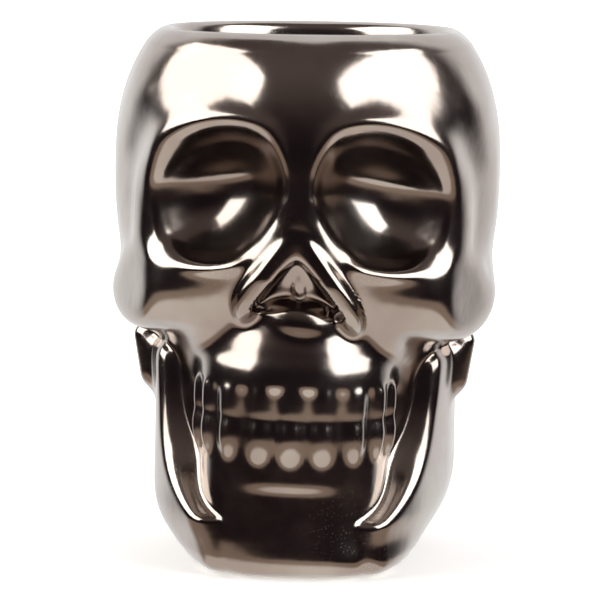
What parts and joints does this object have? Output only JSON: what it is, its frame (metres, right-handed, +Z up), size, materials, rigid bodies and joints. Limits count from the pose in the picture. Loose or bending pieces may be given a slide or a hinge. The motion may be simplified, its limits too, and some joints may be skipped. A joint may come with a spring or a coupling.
{
  "type": "skull oil burner",
  "caption": "Ceramic skull with a metallic glaze: an open oil dish in its crown, a hollow chamber for a tealight below it and an arched door at the back.",
  "frame": {"origin": "middle of the plan at the foot's resting plane", "axes": "+Z up, the face looks along -Y, +X to the right as the face is seen"},
  "size_m": [0.0924, 0.107, 0.125],
  "materials": {
    "pewter_glaze": "mirror-like dark pewter lustre glaze"
  },
  "bodies": {
    "root": {"skull_body": "pewter_glaze"}
  },
  "joints": []
}
